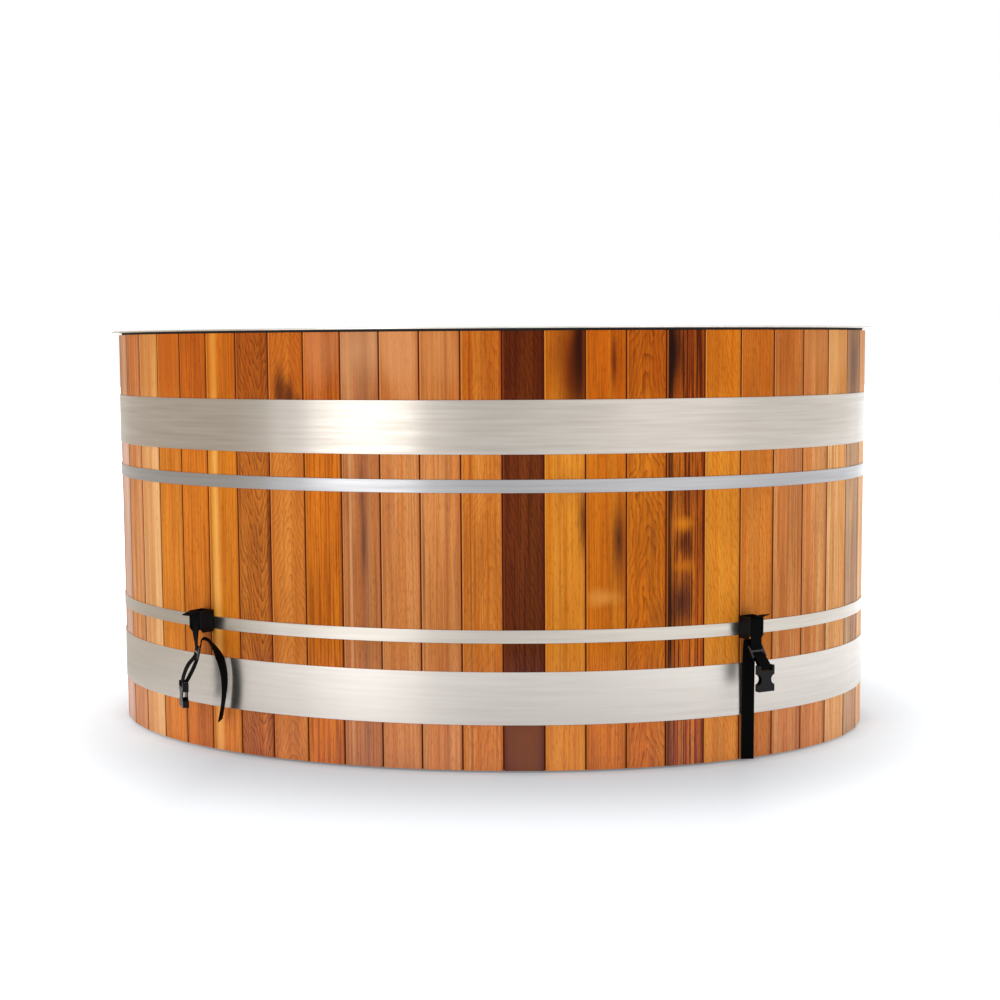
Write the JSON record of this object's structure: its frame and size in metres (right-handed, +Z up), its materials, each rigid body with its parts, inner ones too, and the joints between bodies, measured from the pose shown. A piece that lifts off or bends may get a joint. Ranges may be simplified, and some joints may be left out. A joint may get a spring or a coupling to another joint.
{
  "type": "cold plunge tub",
  "caption": "Oval cold plunge tub of cedar staves and steel hoops round an insulated steel liner, with a drain valve, water ports and hanging cover straps.",
  "frame": {"origin": "on the floor under the middle of the oval, at the foot of the runners", "axes": "+X along the oval to the right of a person who faces the front, +Y from the front to the back, +Z up"},
  "size_m": [1.646, 1.2374, 0.839],
  "materials": {
    "cedar": "oiled",
    "hoop_steel": "brushed",
    "fastener_steel": "satin",
    "liner_steel": "satin",
    "rubber": "matt",
    "plywood": "raw",
    "foam": "matt",
    "runner_plastic": "matt",
    "pipe_plastic": "satin",
    "port_plastic": "satin",
    "valve_brass": "cast",
    "valve_chrome": "polished",
    "lever_red": "dipped",
    "black_steel": "powder coated",
    "black_webbing": "woven",
    "black_plastic": "moulded"
  },
  "bodies": {
    "tub": {"staves_front": "cedar", "staves_front_right": "cedar", "staves_right": "cedar", "staves_back_right": "cedar", "staves_back": "cedar", "staves_back_left": "cedar", "staves_left": "cedar", "staves_front_left": "cedar", "lower_wide_hoop": "hoop_steel", "lower_thin_hoop": "hoop_steel", "upper_thin_hoop": "hoop_steel", "upper_wide_hoop": "hoop_steel", "hoop_bolts": "fastener_steel", "hoop_nuts": "fastener_steel", "liner_wall": "liner_steel", "liner_floor": "liner_steel", "rim_flange": "liner_steel", "rim_gasket": "rubber", "frame_ring_bottom": "plywood", "frame_ring_middle": "plywood", "frame_ring_top": "plywood", "wall_insulation": "foam", "floor_insulation": "foam", "base_deck": "plywood", "base_bearers": "plywood", "base_runners": "runner_plastic", "drain_gasket": "rubber", "drain_fitting": "liner_steel", "drain_grate": "liner_steel", "drain_nut": "liner_steel", "drain_elbow": "pipe_plastic", "drain_pipe": "pipe_plastic", "valve_body": "valve_brass", "port_gaskets": "rubber", "port_nuts": "port_plastic", "suction_fitting": "port_plastic", "suction_grate": "port_plastic", "return_fitting": "port_plastic", "return_retainer": "port_plastic", "left_strap_bracket": "black_steel", "right_strap_bracket": "black_steel", "bracket_screws": "black_steel"},
    "valve_handle": {"valve_lever": "lever_red", "valve_stem": "valve_chrome", "valve_ball": "valve_chrome", "valve_lever_nut": "fastener_steel"},
    "return_nozzle": {"return_eyeball": "port_plastic"},
    "left_strap": {"left_strap_leg": "black_webbing", "left_strap_slider": "black_plastic", "left_strap_loop": "black_webbing", "left_strap_tail": "black_webbing"},
    "left_buckle": {"left_strap_buckle": "black_plastic"},
    "right_strap": {"right_strap_leg": "black_webbing", "right_strap_slider": "black_plastic", "right_strap_loop": "black_webbing", "right_strap_tail": "black_webbing"},
    "right_buckle": {"right_strap_buckle": "black_plastic"}
  },
  "joints": [
    {"name": "valve_turn", "type": "hinge", "parent": "tub", "child": "valve_handle", "pos_m": [0, 0.61195, 0.053], "axis": [0, 0, 1], "range_deg": [0, 90]},
    {"name": "nozzle_swivel", "type": "hinge", "parent": "tub", "child": "return_nozzle", "pos_m": [-0.14485, 0.47871, 0.48], "axis": [0, 0, 1], "range_deg": [-20, 20]},
    {"name": "left_strap_swing", "type": "hinge", "parent": "tub", "child": "left_strap", "pos_m": [-0.50841, -0.47295, 0.281], "axis": [-0.8636, 0.5042, 0], "range_deg": [0, 80]},
    {"name": "left_buckle_pivot", "type": "hinge", "parent": "left_strap", "child": "left_buckle", "pos_m": [-0.53274, -0.48973, 0.144], "axis": [-0.5109, 0.8596, 0], "range_deg": [-20, 75]},
    {"name": "right_strap_swing", "type": "hinge", "parent": "tub", "child": "right_strap", "pos_m": [0.58332, -0.42742, 0.281], "axis": [-0.8083, -0.5888, 0], "range_deg": [0, 80]},
    {"name": "right_buckle_pivot", "type": "hinge", "parent": "right_strap", "child": "right_buckle", "pos_m": [0.60275, -0.45409, 0.195], "axis": [-0.8083, -0.5888, 0], "range_deg": [-20, 75]}
  ]
}
